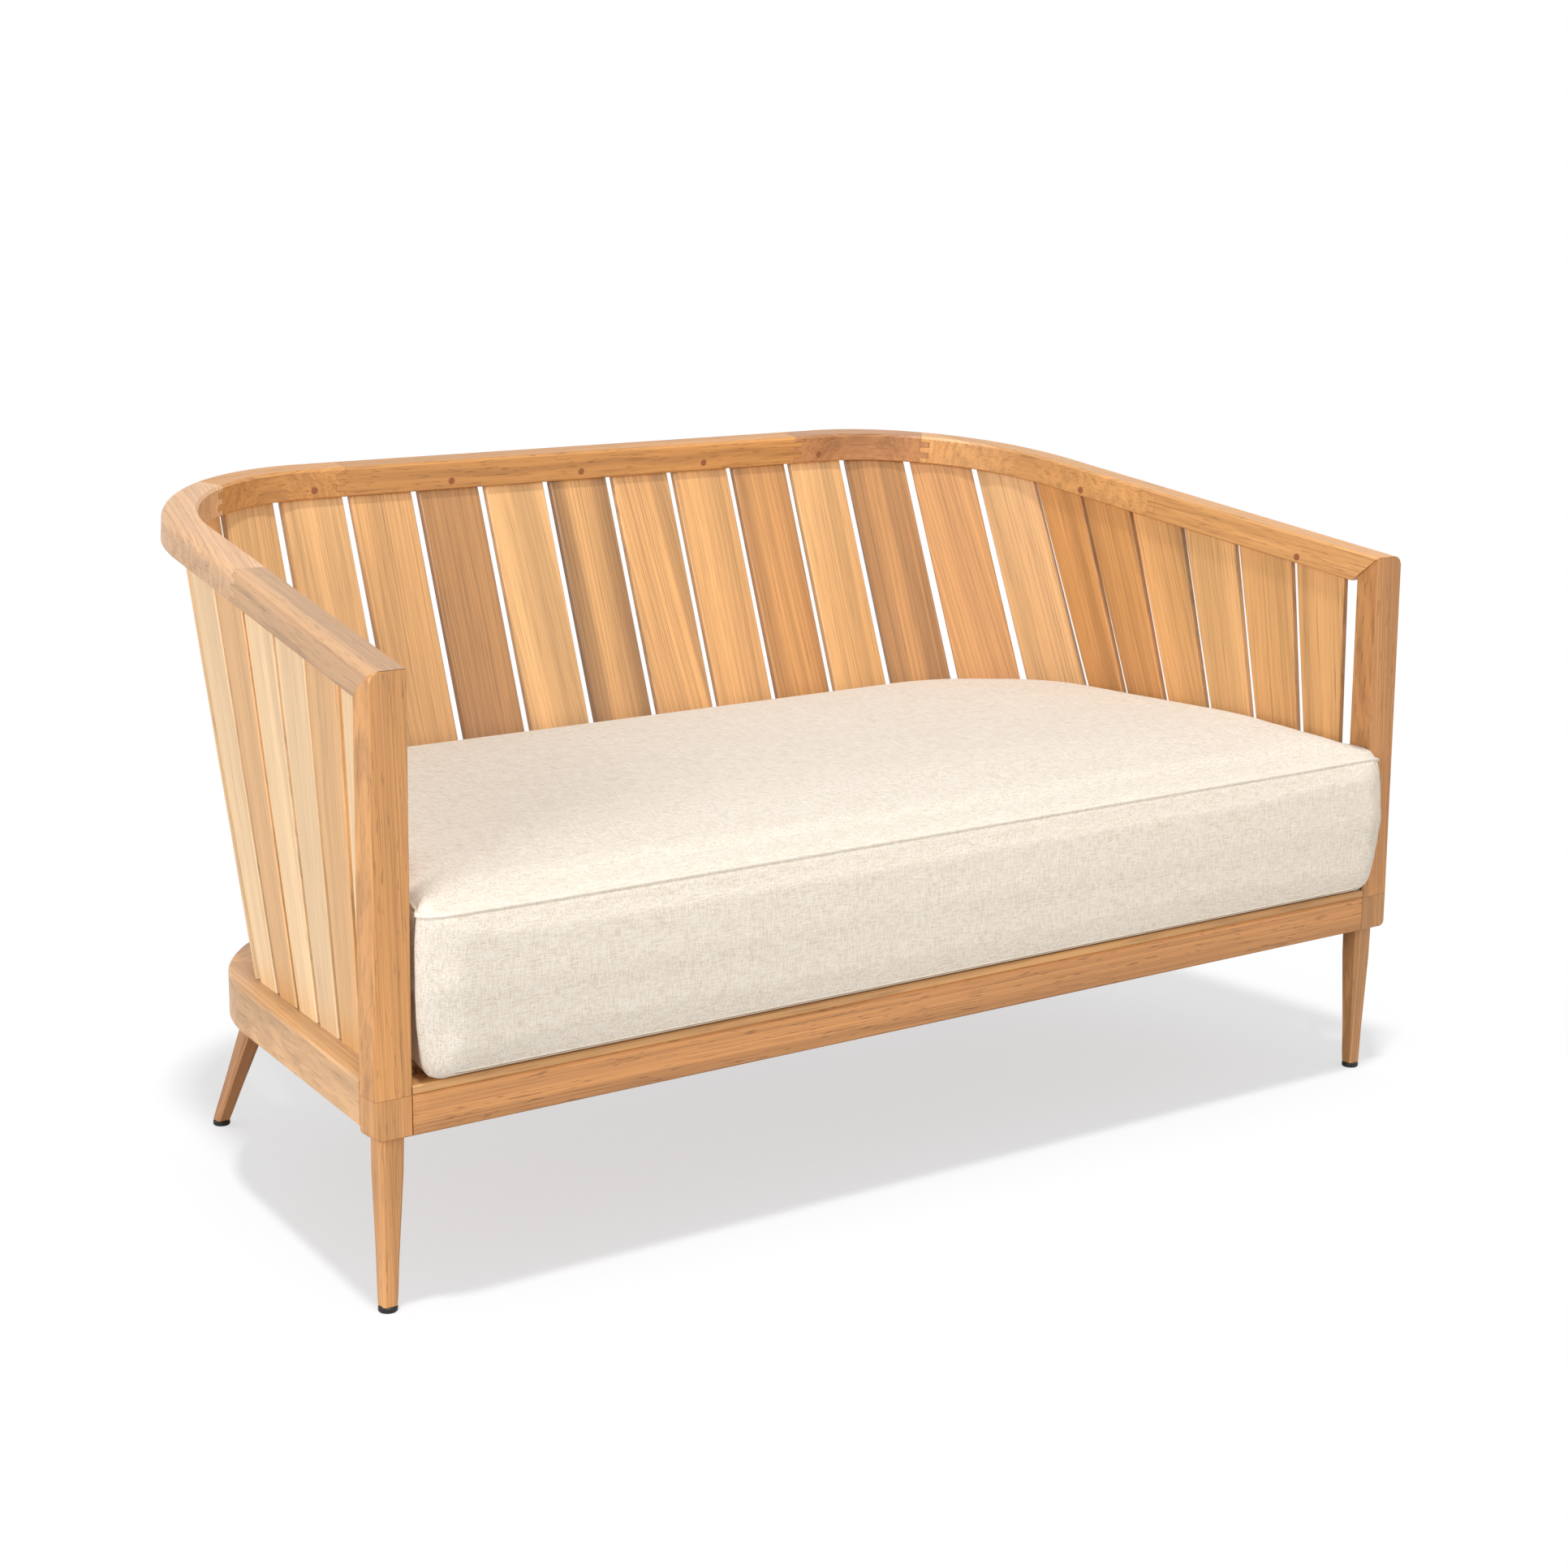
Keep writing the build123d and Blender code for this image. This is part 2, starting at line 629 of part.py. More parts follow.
# Cushion: one closed outline at each level, lofted from the underside to the crown
def cushion_outline(level, inset):
    z = ring_top + seat_gap + cushion_thickness * level
    back = y_front + ring_depth - cushion_back_setback + cushion_lean * level - inset
    radius = cushion_foot_radius + (cushion_head_radius - cushion_foot_radius) * level - inset
    front = y_front - cushion_front_overhang + inset
    plan = u_plan(block_inner - cushion_post_clearance, ring_narrowing_share, radius + inset,
                  y_front, back + inset)
    r = max(cushion_front_radius - inset, cushion_front_radius / 2)
    corner_y = front + r
    corner_x = (plan["reach"] - inset - r - plan["ny"] * corner_y) / plan["nx"]
    half = plan["turn"] / 2
    side_start = (corner_x + r * plan["nx"], corner_y + r * plan["ny"])
    turn_point = (corner_x + r * sin(half + pi / 4), corner_y - r * cos(half + pi / 4))
    points = half_line(plan, inset, side_start[1], 1)
    right = [(corner_x, front), turn_point, side_start] + points[1:]
    right = [(x, y, z) for x, y in right]
    left = [(-x, y, z) for x, y, z in right]
    edges = [Edge.make_line(left[0], right[0]),
             Edge.make_three_point_arc(right[0], right[1], right[2]),
             Edge.make_line(right[2], right[3]),
             Edge.make_three_point_arc(right[3], right[4], right[5]),
             Edge.make_line(right[5], left[5]),
             Edge.make_three_point_arc(left[5], left[4], left[3]),
             Edge.make_line(left[3], left[2]),
             Edge.make_three_point_arc(left[2], left[1], left[0])]
    return Wire(edges)


cushion_wires = [cushion_outline(level, share * cushion_draw_in)
                 for level, share in cushion_shares]
pieces["seat_cushion"] = Solid.make_loft(cushion_wires, True)

os.makedirs("parts", exist_ok=True)
for name, shape in pieces.items():
    export_step(shape, f"parts/{name}.step")
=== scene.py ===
import bpy
import math
from mathutils import Matrix, Vector


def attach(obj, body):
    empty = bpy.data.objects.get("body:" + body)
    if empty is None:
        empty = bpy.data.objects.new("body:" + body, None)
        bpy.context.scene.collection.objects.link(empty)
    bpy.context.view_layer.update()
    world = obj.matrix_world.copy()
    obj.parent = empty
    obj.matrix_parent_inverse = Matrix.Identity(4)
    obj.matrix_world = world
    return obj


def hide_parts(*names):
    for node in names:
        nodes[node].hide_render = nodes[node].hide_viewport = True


# %% [markdown]
# ## A patio loveseat in teak with one seat cushion
# The CAD frame brings every wooden piece with its name, size and place, so the wood needs no new
# shapes here, only the looks of real boards.
# The cushion's solid is a plain form, which this script fills out. The plugs in the rail, the
# sewn seams, the light and the camera are made here as well.

# %% Load the CAD frame
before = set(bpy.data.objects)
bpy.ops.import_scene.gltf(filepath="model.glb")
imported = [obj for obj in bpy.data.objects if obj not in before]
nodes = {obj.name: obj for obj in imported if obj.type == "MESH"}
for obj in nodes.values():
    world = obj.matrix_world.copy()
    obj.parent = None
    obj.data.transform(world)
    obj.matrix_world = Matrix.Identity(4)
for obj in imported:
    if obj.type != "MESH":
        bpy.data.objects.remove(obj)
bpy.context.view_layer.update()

# %% [markdown]
# ## Helpers for colours and materials
# Colours are read as sRGB hex and turned into linear values, because shaders work in linear light.
# One small function adds a shader node, sets its values and links its inputs, so that each
# material below reads as a short list of steps.

# %% Colours and shader nodes
def srgb(text, gain=1.0):
    parts = [int(text[i:i + 2], 16) / 255 for i in (0, 2, 4)]
    linear = [c / 12.92 if c <= 0.04045 else ((c + 0.055) / 1.055) ** 2.4 for c in parts]
    return tuple(min(c * gain, 1.0) for c in linear) + (1.0,)


def add(tree, kind, values=None, links=None, **settings):
    new = tree.nodes.new(kind)
    for key, value in settings.items():
        setattr(new, key, value)
    for key, value in (values or {}).items():
        new.inputs[key].default_value = value
    for key, source in (links or {}).items():
        tree.links.new(source, new.inputs[key])
    return new


def new_material(name):
    material = bpy.data.materials.new(name)
    material.use_nodes = True
    tree = material.node_tree
    tree.nodes.clear()
    out = tree.nodes.new("ShaderNodeOutputMaterial")
    return material, tree, out


# A Mix node keeps the sockets of its two colours behind those for numbers and vectors
MIX_FIRST, MIX_SECOND, MIX_RESULT = 6, 7, 2

# %% [markdown]
# ## Which way the grain runs
# A board is sawn along the trunk, so the grain follows its long axis, and a curved piece is cut
# from a straight board, so its grain runs straight through the bend.
# The long, wide and thin axes of each CAD piece come from the spread of its faces.

# %% Grain axes from the mesh
ROUNDS = 80
FIRST_GUESSES = (Vector((0.31, 0.53, 0.79)), Vector((0.71, -0.59, 0.37)))
NEARLY_LEVEL = 0.2


def grain_axes(obj):
    mesh = obj.data
    total, centre = 0.0, Vector()
    for face in mesh.polygons:
        total += face.area
        centre += face.center * face.area
    centre /= total
    spread = Matrix(((0, 0, 0), (0, 0, 0), (0, 0, 0)))
    for face in mesh.polygons:
        # A triangle's own spread counts, since its centre alone would tilt a long thin board
        parts = [mesh.vertices[i].co - centre for i in face.vertices]
        parts.append(sum(parts, Vector()))
        for i in range(3):
            for j in range(3):
                spread[i][j] += sum(p[i] * p[j] for p in parts) * face.area / (12 * total)
    # Power iteration finds the long axis, and then the wide one at right angles to it
    long_axis, wide = FIRST_GUESSES[0].copy(), FIRST_GUESSES[1].copy()
    for _ in range(ROUNDS):
        long_axis = (spread @ long_axis).normalized()
    for _ in range(ROUNDS):
        wide -= long_axis * wide.dot(long_axis)
        wide = (spread @ wide).normalized()
    wide = (wide - long_axis * wide.dot(long_axis)).normalized()
    if long_axis.z < 0 or (abs(long_axis.z) < NEARLY_LEVEL and long_axis.x < 0):
        long_axis = -long_axis
    return long_axis, wide, long_axis.cross(wide), centre


# %% [markdown]
# ## Teak
# Sanded, oiled teak is a golden tan with broad darker bands, dark lines about 2 mm apart that
# wander along the board, and pores that show as short dark scratches.
# Noises stretched along the grain give all three, and a slow noise bends them sideways so that no
# line is ruler straight. The pores of the real wood are a third of a millimetre wide, and are
# drawn coarser here so that they show. On the thicker pieces a few of them open as short dashes.
# A saw cut that is not quite true to the trunk makes the lines run out at a slant, and a cut near
# the middle of the trunk leaves a darker band along both edges.
# Every piece has its own board, so tone, contrast and the cut through the pattern change each time.

# %% Sizes of the patterns in millimetres: along the grain, across the width, through the board
WANDER = (385, 100, 100)
BAND = (1430, 38.5, 111)
LINE = (625, 2.083, 16.7)
PORE = (71.4, 1.25, 2.5)
DASH = (22.2, 2.38, 2.38)
# In metres: how far a line wanders from side to side, and how far from the board's middle a dark
# edge starts and is darkest
SWAY = 0.009
EDGE_START, EDGE_END = 0.012, 0.034
# How far the cut through the pattern moves on from one board to the next
BOARD_STEP = 3.7


def per_metre(sizes):
    return tuple(1000 / size for size in sizes)


def grain_noise(tree, source, sizes, detail, roughness, cut):
    stretch = add(tree, "ShaderNodeMapping", {"Scale": per_metre(sizes)}, {"Vector": source})
    return add(tree, "ShaderNodeTexNoise",
               {"Scale": 1.0, "Detail": detail, "Roughness": roughness, "W": cut},
               {"Vector": stretch.outputs[0]}, noise_dimensions="4D")


# %% Coordinates that run along the grain and wander with it
def along_grain(tree, obj, slant, cut):
    long_axis, wide, thin, centre = grain_axes(obj)
    axes = Matrix((long_axis, wide, thin))
    place = add(tree, "ShaderNodeTexCoord")
    along = add(tree, "ShaderNodeMapping",
                {"Rotation": axes.to_euler(), "Location": -(axes @ centre)},
                {"Vector": place.outputs["Object"]})
    tilted = add(tree, "ShaderNodeMapping", {"Rotation": (0.0, 0.0, math.radians(slant))},
                 {"Vector": along.outputs[0]})
    wander = grain_noise(tree, tilted.outputs[0], WANDER, 2.0, 0.5, cut)
    bend = add(tree, "ShaderNodeVectorMath", {1: (0.5, 0.5, 0.5)}, {0: wander.outputs["Color"]},
               operation="SUBTRACT")
    bend = add(tree, "ShaderNodeVectorMath", {1: (0.0, SWAY, SWAY)}, {0: bend.outputs[0]},
               operation="MULTIPLY")
    bent = add(tree, "ShaderNodeVectorMath", None,
               {0: tilted.outputs[0], 1: bend.outputs[0]}, operation="ADD")
    return bent.outputs[0]


# %% How much the lines, pores, dashes and edges of a board darken it
LINE_DEPTH, DASH_DEPTH = 0.26, 0.45


def darkening(tree, grain, cut, stripes, edges, dashes):
    # Size, detail, roughness and cut of each noise, its low and high value, and the shade at both
    patterns = [(LINE, 3.0, 0.7, 11.0, 0.38, 0.58, 1 - LINE_DEPTH * stripes, 1.03),
                (PORE, 2.0, 0.5, 23.0, 0.30, 0.46, 0.74, 1.0)]
    if dashes:
        patterns.append((DASH, 1.0, 0.5, 31.0, 0.30, 0.38, 1 - DASH_DEPTH * dashes, 1.0))
    shades = []
    for sizes, detail, roughness, shift, low, high, darkest, lightest in patterns:
        noise = grain_noise(tree, grain, sizes, detail, roughness, cut + shift)
        shades.append(add(tree, "ShaderNodeMapRange",
                          {"From Min": low, "From Max": high, "To Min": darkest,
                           "To Max": lightest}, {"Value": noise.outputs["Fac"]}))
    if edges:
        parts = add(tree, "ShaderNodeSeparateXYZ", None, {0: grain})
        away = add(tree, "ShaderNodeMath", None, {0: parts.outputs["Y"]}, operation="ABSOLUTE")
        shades.append(add(tree, "ShaderNodeMapRange",
                          {"From Min": EDGE_START, "From Max": EDGE_END, "To Min": 1.0,
                           "To Max": 1 - edges}, {"Value": away.outputs[0]}))
    shade = shades[0]
    for other in shades[1:]:
        shade = add(tree, "ShaderNodeMath", None, {0: shade.outputs[0], 1: other.outputs[0]},
                    operation="MULTIPLY")
    return shade.outputs[0]


# %% Teak material
BAND_LIGHT, BAND_DEPTH = 1.16, 0.34
RED_FALL = 0.93


def teak(name, obj, seed, tone, contrast, stripes, edges, slant, dashes):
    material, tree, out = new_material(name)
    cut = seed * BOARD_STEP
    grain = along_grain(tree, obj, slant, cut)
    bands = grain_noise(tree, grain, BAND, 4.0, 0.5, cut)
    bands = add(tree, "ShaderNodeMapRange", {"From Min": 0.34, "From Max": 0.66},
                {"Value": bands.outputs["Fac"]})
    body = add(tree, "ShaderNodeMix", None, {"Factor": bands.outputs[0]}, data_type="RGBA")
    body.inputs[MIX_FIRST].default_value = srgb(tone, 1 - BAND_DEPTH * contrast)
    body.inputs[MIX_SECOND].default_value = srgb(tone, BAND_LIGHT)
    shade = darkening(tree, grain, cut, stripes, edges, dashes)
    # Darker lines in teak are a little redder, so red falls more slowly than green and blue
    red = add(tree, "ShaderNodeMath", {1: RED_FALL}, {0: shade}, operation="POWER")
    tint = add(tree, "ShaderNodeCombineColor", None,
               {"Red": red.outputs[0], "Green": shade, "Blue": shade})
    colour = add(tree, "ShaderNodeVectorMath", None,
                 {0: body.outputs[MIX_RESULT], 1: tint.outputs[0]}, operation="MULTIPLY")
    bump = add(tree, "ShaderNodeBump", {"Strength": 0.35, "Distance": 0.0003}, {"Height": shade})
    surface = add(tree, "ShaderNodeBsdfPrincipled", {"Roughness": 0.42, "IOR": 1.5},
                  {"Base Color": colour.outputs[0], "Normal": bump.outputs[0]})
    tree.links.new(surface.outputs[0], out.inputs[0])
    return material


# %% [markdown]
# ## Boards picked for the pieces
# Pale honey boards stand next to grey brown ones from the heart of the trunk.
# Each tone has one name here, and each piece is given the tone that its board has in the photo.
# After the tone come the contrast of the bands and the strength of the lines, and where a board
# has them the dark edges, the slant of the grain in degrees and the short dashes.
# Pieces that the photo hides take a tone from the same handful.

# %% Tones of the boards
TONES = {"honey": "E6B47A", "gold": "DFAA6F", "tan": "D59C61", "brown": "CB9160",
         "heart": "B58453", "pale": "EFCB9C", "arm": "DEB084", "arm end": "CEA277",
         "arm tan": "DCA468", "rail": "DA9D5C", "front": "D69C62", "leg": "C98F58",
         "side": "D5A776", "post": "DDA062"}


def board(tone, contrast=0.8, stripes=0.9, edges=0.0, slant=0.0, dashes=0.0):
    return {"tone": TONES[tone], "contrast": contrast, "stripes": stripes, "edges": edges,
            "slant": slant, "dashes": dashes}


# %% Boards of the slats
board_of = {
    "slat_back_left_3": board("gold", 0.9, 1.0),
    "slat_back_left_2": board("heart", 0.3, 1.3),
    "slat_back_left_1": board("honey", 0.7, 0.6, slant=3.0),
    "slat_back_middle": board("gold", 0.9, 1.1, edges=0.42, slant=1.0),
    "slat_back_right_1": board("gold", 1.0, 1.3, slant=5.0),
    "slat_back_right_2": board("gold", 0.6, 1.1),
    "slat_back_right_3": board("tan", 1.0, 0.9, edges=0.2, slant=2.0),
    "slat_corner_left_1": board("honey", 0.8, 0.9),
    "slat_corner_left_2": board("honey", 0.6, 0.9),
    "slat_corner_left_3": board("gold", 0.8, 0.8, slant=2.0),
    "slat_corner_left_4": board("pale", 0.3, 0.5),
    "slat_corner_right_1": board("honey", 0.8, 0.9),
    "slat_corner_right_2": board("tan", 1.1, 1.2, edges=0.3),
    "slat_corner_right_3": board("tan", 1.0, 0.9, slant=3.0),
    "slat_corner_right_4": board("honey", 0.8, 1.0)}
arm_rows = {"left": ("pale", "honey", "pale", "pale", "honey", "pale"),
            "right": ("tan", "tan", "gold", "honey", "gold", "gold")}
for side, row in arm_rows.items():
    strength = 0.45 if side == "left" else 0.8
    for number, tone in enumerate(row, 1):
        # The slant goes round from -1 to 2 degrees
        board_of[f"slat_arm_{side}_{number}"] = board(tone, strength, strength,
                                                      slant=number % 4 - 1.0)
print("slats with a board of their own:", len(board_of))

# %% Boards of the frame
board_of.update({
    "rail_back": board("rail", 0.7, 1.0, dashes=0.7),
    "rail_corner_rear_left": board("rail", 0.6, 0.9, dashes=0.6),
    "rail_corner_rear_right": board("brown", 0.6, 0.9, dashes=0.6),
    "rail_corner_front_left": board("arm", 0.5, 0.8, dashes=0.4),
    "rail_corner_front_right": board("arm tan", 0.6, 0.8, dashes=0.4),
    "rail_arm_left": board("arm end", 0.6, 0.8, dashes=0.5),
    "rail_arm_right": board("arm tan", 0.6, 0.9, dashes=0.5),
    "arm_post_left": board("post", 0.8, 1.0, slant=2.0, dashes=0.6),
    "arm_post_right": board("leg", 0.8, 0.9, slant=2.0, dashes=0.6),
    "front_leg_left": board("front", 0.9, 1.0, slant=1.0, dashes=0.5),
    "front_leg_right": board("heart", 0.9, 1.0, slant=1.0, dashes=0.5),
    "rear_leg_left": board("brown"),
    "rear_leg_right": board("brown"),
    "apron": board("leg", 0.9, 1.0, dashes=0.9),
    "seat_front_strip": board("gold", 0.7, 0.8),
    "ring_side_left": board("side", 0.7),
    "ring_side_right": board("tan", 0.7),
    "ring_corner_left": board("honey"),
    "ring_corner_right": board("tan"),
    "ring_back": board("tan", 0.9, 1.0)})

# %% Give every wooden CAD node its own board
seed = 0
for name, obj in sorted(nodes.items()):
    if name in ("seat_cushion", "glides"):
        continue
    seed += 1
    material = teak("Teak board, " + name.replace("_", " "), obj, seed,
                    **board_of.get(name, board("tan")))
    obj.data.materials.clear()
    obj.data.materials.append(material)
print("teak boards:", seed)

# %% [markdown]
# ## Small parts
# Round plugs of darker end grain cover the screws that hold the rail to some of the slats, and
# the glides under the feet are black moulded plastic.
# A plug is a flat disc sanded flush, so each one is a thin cylinder set on the rail's inner face,
# which is found by looking outwards from inside the seat at the height of its slat's head.
# An operator acts on all that is selected, so two helpers clear the selection, or leave one
# object in it and make that the active one.

# %% Materials of the small parts
def plain(name, colour, roughness):
    material, tree, out = new_material(name)
    surface = add(tree, "ShaderNodeBsdfPrincipled",
                  {"Base Color": colour, "Roughness": roughness, "IOR": 1.5})
    tree.links.new(surface.outputs[0], out.inputs[0])
    return material


plug_wood = plain("Teak end grain plug", srgb("945A35"), 0.6)
black_plastic = plain("Black polyethylene glide", srgb("101010"), 0.45)
nodes["glides"].data.materials.clear()
nodes["glides"].data.materials.append(black_plastic)
print("materials:", plug_wood.name, "and", black_plastic.name)


# %% Selecting
def deselect():
    bpy.ops.object.select_all(action="DESELECT")


def active(obj):
    deselect()
    obj.select_set(True)
    bpy.context.view_layer.objects.active = obj


# %% Where the plug over the head of a slat goes, sizes in metres
HEAD_HEIGHT = 0.006
PLUG_DROP = 0.004
LOOK_FROM = 0.15
SEAT_MIDDLE_Y = -0.1
view = bpy.context.evaluated_depsgraph_get()


def plug_place(slat):
    points = [v.co for v in slat.data.vertices]
    highest = max(p.z for p in points)
    head = [p for p in points if p.z > highest - HEAD_HEIGHT]
    centre = sum(head, Vector()) / len(head)
    thin = grain_axes(slat)[2]
    outwards = Vector((thin.x, thin.y, 0)).normalized()
    if outwards.dot(centre - Vector((0, SEAT_MIDDLE_Y, centre.z))) < 0:
        outwards = -outwards
    eye = centre - outwards * LOOK_FROM - Vector((0, 0, PLUG_DROP))
    hit, spot, normal, _, rail, _ = bpy.context.scene.ray_cast(view, eye, outwards)
    return hit, spot, normal, rail


# %% Plugs over some of the slats
PLUG_RADIUS = 0.0043
PLUG_PROUD = 0.0002
plugged = ["slat_back_middle"]
for side in ("left", "right"):
    plugged += [f"slat_back_{side}_2", f"slat_corner_{side}_1", f"slat_arm_{side}_2",
                f"slat_arm_{side}_6"]
plugs = []
for name in plugged:
    hit, spot, normal, rail = plug_place(nodes[name])
    if not hit:
        print("no rail behind the plug of", name)
        continue
    deselect()
    bpy.ops.mesh.primitive_cylinder_add(vertices=32, radius=PLUG_RADIUS, depth=2 * PLUG_PROUD,
                                        location=spot,
                                        rotation=normal.to_track_quat("Z", "Y").to_euler())
    plugs.append(bpy.context.object)
    print("plug at", tuple(round(c, 4) for c in spot), "on", rail.name)

# %% Join the plugs into one piece of the frame
deselect()
for plug in plugs:
    plug.select_set(True)
bpy.context.view_layer.objects.active = plugs[0]
bpy.ops.object.join()
bpy.ops.object.transform_apply(location=True, rotation=True, scale=True)
rail_plugs = bpy.context.object
rail_plugs.name = "rail_plugs"
rail_plugs.data.materials.append(plug_wood)
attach(rail_plugs, "frame")
print("plugs joined:", len(plugs))

# %% [markdown]
# ## Cushion fabric
# The cover is an off-white, heathered outdoor cloth of plain weave. Its threads are half a
# millimetre wide, and are drawn about twice as wide here so that they show.
# Yarns run along all three axes here, so each face shows the two that lie in it as threads.
# Flecks a little wider than a yarn and about 14 mm long are darker or lighter, which gives the
# heathered look.

# %% Yarns along all three axes, with the length and width of a yarn and a fleck in millimetres
YARN = (8.333, 1.111)
FLECK = (14.29, 1.613)


def yarns(tree, place, sizes, detail):
    along, across = per_metre(sizes)
    noises = []
    for axis in range(3):
        scale = [across, across, across]
        scale[axis] = along
        stretch = add(tree, "ShaderNodeMapping", {"Scale": scale},
                      {"Vector": place.outputs["Object"]})
        noises.append(add(tree, "ShaderNodeTexNoise", {"Scale": 1.0, "Detail": detail},
                          {"Vector": stretch.outputs[0]}).outputs["Fac"])
    pair = add(tree, "ShaderNodeMath", None, {0: noises[0], 1: noises[1]}, operation="ADD")
    return add(tree, "ShaderNodeMath", None, {0: pair.outputs[0], 1: noises[2]},
               operation="ADD").outputs[0]


# %% Fabric material
def cover_cloth(name, light, dark):
    material, tree, out = new_material(name)
    place = add(tree, "ShaderNodeTexCoord")
    threads = yarns(tree, place, YARN, 2.0)
    heather = add(tree, "ShaderNodeMapRange",
                  {"From Min": 1.15, "From Max": 1.65, "To Min": 0.0, "To Max": 0.5},
                  {"Value": yarns(tree, place, FLECK, 1.0)})
    fine = add(tree, "ShaderNodeMapRange",
               {"From Min": 1.15, "From Max": 1.80, "To Min": 0.0, "To Max": 0.5},
               {"Value": threads})
    fleck = add(tree, "ShaderNodeMath", None, {0: heather.outputs[0], 1: fine.outputs[0]},
                operation="ADD")
    mix = add(tree, "ShaderNodeMix", None, {0: fleck.outputs[0]}, data_type="RGBA")
    mix.inputs[MIX_FIRST].default_value = dark
    mix.inputs[MIX_SECOND].default_value = light
    bump = add(tree, "ShaderNodeBump", {"Strength": 0.6, "Distance": 0.0006},
               {"Height": threads})
    surface = add(tree, "ShaderNodeBsdfPrincipled",
                  {"Roughness": 0.9, "IOR": 1.45, "Sheen Weight": 0.1, "Sheen Roughness": 0.5},
                  {"Base Color": mix.outputs[MIX_RESULT], "Normal": bump.outputs[0]})
    tree.links.new(surface.outputs[0], out.inputs[0])
    return material


cloth = cover_cloth("Heathered outdoor fabric", srgb("EFE9E0"), srgb("CBBDA8"))
# The ridge of each seam takes a lighter copy of the cloth: a painted highlight where the ridge
# catches the light
seam_highlight_cloth = cover_cloth("Heathered outdoor fabric, seam ridge", srgb("F3ECE2"), srgb("D6CAB8"))
# The darker colour of the thin tube under each seam ridge is painted shade: the fine shadow under
# the ridge
seam_shade = plain("Painted shade under the seam ridge", srgb("A8967A"), 0.8)
print("materials:", cloth.name, "and", seam_highlight_cloth.name, "and", seam_shade.name)

# %% [markdown]
# ## Seat cushion
# A boxed cushion is a top and a bottom panel joined by a strip of cloth all round, filled with
# foam and fibre. It could be shaped by hand, but cloth blown up a little from inside swells as
# the real cover does, with hardly any work.
# A copy of the CAD form is remeshed evenly, which also joins its loose triangles, and is inflated.
# The swelling is capped, so that the cushion stays in its place.

# %% An even mesh of the CAD cushion
VOXEL = 0.006
cushion = nodes["seat_cushion"].copy()
cushion.data = nodes["seat_cushion"].data.copy()
cushion.name = "cushion_body"
bpy.context.collection.objects.link(cushion)
cushion.parent = None
active(cushion)
remesh = cushion.modifiers.new("even", "REMESH")
remesh.mode = "VOXEL"
remesh.voxel_size = VOXEL
bpy.ops.object.modifier_apply(modifier="even")
start = [v.co.copy() for v in cushion.data.vertices]
print("cushion vertices:", len(start))

# %% Let it swell, and settle it with a little smoothing
PRESSURE = 3.0
STEPS = 12
CAP = 0.003
cloth_sim = cushion.modifiers.new("swell", "CLOTH")
settings = cloth_sim.settings
settings.quality = 4
settings.mass = 0.3
settings.use_pressure = True
settings.uniform_pressure_force = PRESSURE
settings.tension_stiffness = 12
settings.compression_stiffness = 12
settings.effector_weights.gravity = 0
for step in range(1, STEPS + 1):
    bpy.context.scene.frame_set(step)
bpy.ops.object.modifier_apply(modifier="swell")
bpy.context.scene.frame_set(1)
for vertex, old in zip(cushion.data.vertices, start):
    move = vertex.co - old
    if move.length > CAP:
        vertex.co = old + move.normalized() * CAP


def settle(obj):
    smooth = obj.modifiers.new("settle", "SMOOTH")
    smooth.factor = 0.5
    smooth.iterations = 2
    bpy.ops.object.modifier_apply(modifier="settle")


settle(cushion)
moved = max((v.co - old).length for v, old in zip(cushion.data.vertices, start))
print("the cushion's cloth moved by up to", round(1000 * moved, 1), "mm")

# %% [markdown]
# ## How the cushion sits
# The fill lifts the top panel by a little over a centimetre behind the front seam, and the front
# hangs forward over the wooden strip.
# It lies a little to the right, so its right end swells out in front of the post, while the left
# end stays just clear of its post.
# One function moves points of the plain form to their places, and the seams use it as well, so
# that they stay on the cloth.

# %% The shape that the cushion takes, in metres
BOTTOM, HEIGHT = 0.2433, 0.165
FRONT, ARC_START, CORNER, SIDE = -0.3943, -0.368, 0.636, 0.657
LIFT, LIFT_FROM, LIFT_TO = 0.0135, -0.405, -0.20
SIDE_LIFT, SIDE_LIFT_FROM, SIDE_LIFT_TO = 0.005, 0.50, 0.62
SIDE_LIFT_FRONT, SIDE_LIFT_BACK = -0.40, -0.36
SAG, SAG_FROM, SAG_TO = 0.0055, 0.34, 0.388
OVERHANG, OVERHANG_FROM, OVERHANG_TO = 0.0025, 0.380, 0.392
SWELL, SWELL_FROM, SWELL_TO = 0.0162, 0.366, 0.3923
PULL_FROM, PULL_BACK = 0.42, 0.372
CORNER_DROP, DROP_FROM, DROP_TO = 0.006, 0.655, 0.682
# Shares of the height: where the top panel, its rim and the fullest part of an end start, and
# where the low part and the hang of the front end
TOP_FROM, RIM_FROM, FULL_FROM, LOW_TO, HANG_TO = 0.5, 0.8, 0.42, 0.4, 0.5
# How far the front swells at its edges, more half way up and more near the bottom
BULGE, BULGE_MIDDLE, BULGE_LOW = 0.94, 0.06, 0.16
# How far an end swells at the bottom, what it loses at the top, and the strip half way up that
# loses a little
TUCK, TOP_LOSS = 0.40, 0.14
STRIP_LOSS, STRIP_AT, STRIP_SPREAD = 0.08, 0.53, 0.16
# Round each front corner: the share of the turn from the side to the front, and the x and y that
# the swollen cloth reaches there
RIGHT_END = ((0.0, 0.657, -0.368), (0.28, 0.6585, -0.388), (0.42, 0.664, -0.3935),
             (0.58, 0.675, -0.3955), (0.74, 0.6825, -0.4005), (0.88, 0.680, -0.4070),
             (1.0, 0.666, -0.4105))
LEFT_END = ((0.0, 0.658, -0.368), (0.30, 0.660, -0.386), (0.50, 0.6655, -0.394),
            (0.70, 0.665, -0.4005), (0.85, 0.657, -0.4070), (1.0, 0.643, -0.4105))


